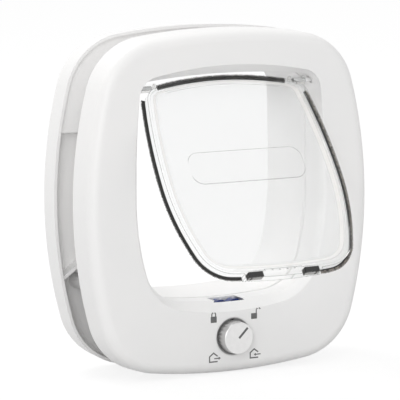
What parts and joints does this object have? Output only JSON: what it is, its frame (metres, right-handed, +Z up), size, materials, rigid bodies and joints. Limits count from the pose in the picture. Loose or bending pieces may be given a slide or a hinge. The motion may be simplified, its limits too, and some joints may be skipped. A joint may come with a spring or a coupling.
{
  "type": "cat flap",
  "caption": "Rounded white cat flap with a clear two-way swinging flap, black pile seals, magnets and a rotary lock dial, with an outer frame for a door.",
  "frame": {"origin": "centre of the door cut-out on the inside face of the door", "axes": "+X to the right seen from the room, +Y out through the door, +Z up"},
  "size_m": [0.23, 0.1585, 0.25],
  "materials": {
    "white_plastic": "satin",
    "clear_plastic": "clear moulded plastic",
    "black_pile": "woven pile",
    "magnet_black": "ferrite",
    "steel": "plain steel",
    "brass": "knurled brass",
    "pivot_plastic": "smooth",
    "silver_dial": "silver satin",
    "dark_inlay": "matt",
    "navy_plastic": "matt"
  },
  "bodies": {
    "frames": {"front_cover": "white_plastic", "base_frame": "white_plastic", "outer_frame": "white_plastic", "fixing_screws": "steel", "screw_inserts": "brass", "hinge_bush_left": "pivot_plastic", "hinge_bush_right": "pivot_plastic", "sill_magnet_left": "magnet_black", "sill_magnet_right": "magnet_black", "detent_plunger": "steel", "detent_spring": "steel"},
    "flap": {"flap_panel": "clear_plastic", "flap_seal_top": "black_pile", "flap_seal_left": "black_pile", "flap_seal_right": "black_pile", "flap_magnet_left": "magnet_black", "flap_magnet_right": "magnet_black", "hinge_pin_left": "pivot_plastic", "hinge_pin_right": "pivot_plastic"},
    "dial": {"knob_body": "silver_dial", "knob_pointer": "dark_inlay", "drive_gear": "navy_plastic"},
    "drum": {"drum_front": "navy_plastic", "drum_hub": "navy_plastic", "drum_rear": "navy_plastic"}
  },
  "joints": [
    {"name": "flap_swing", "type": "hinge", "parent": "frames", "child": "flap", "pos_m": [0, -0.0116, 0.0845], "axis": [1, 0, 0], "range_deg": [-40.7, 109.3]},
    {"name": "dial_turn", "type": "hinge", "parent": "frames", "child": "dial", "pos_m": [0, -0.0254, -0.0975], "axis": [0, 1, 0], "continuous": true},
    {"name": "drum_turn", "type": "hinge", "parent": "frames", "child": "drum", "pos_m": [0, -0.0116, -0.084], "axis": [0, 1, 0], "continuous": true}
  ],
  "couplings": [
    {"joint": "drum_turn", "follows": "dial_turn", "ratio": -1}
  ]
}
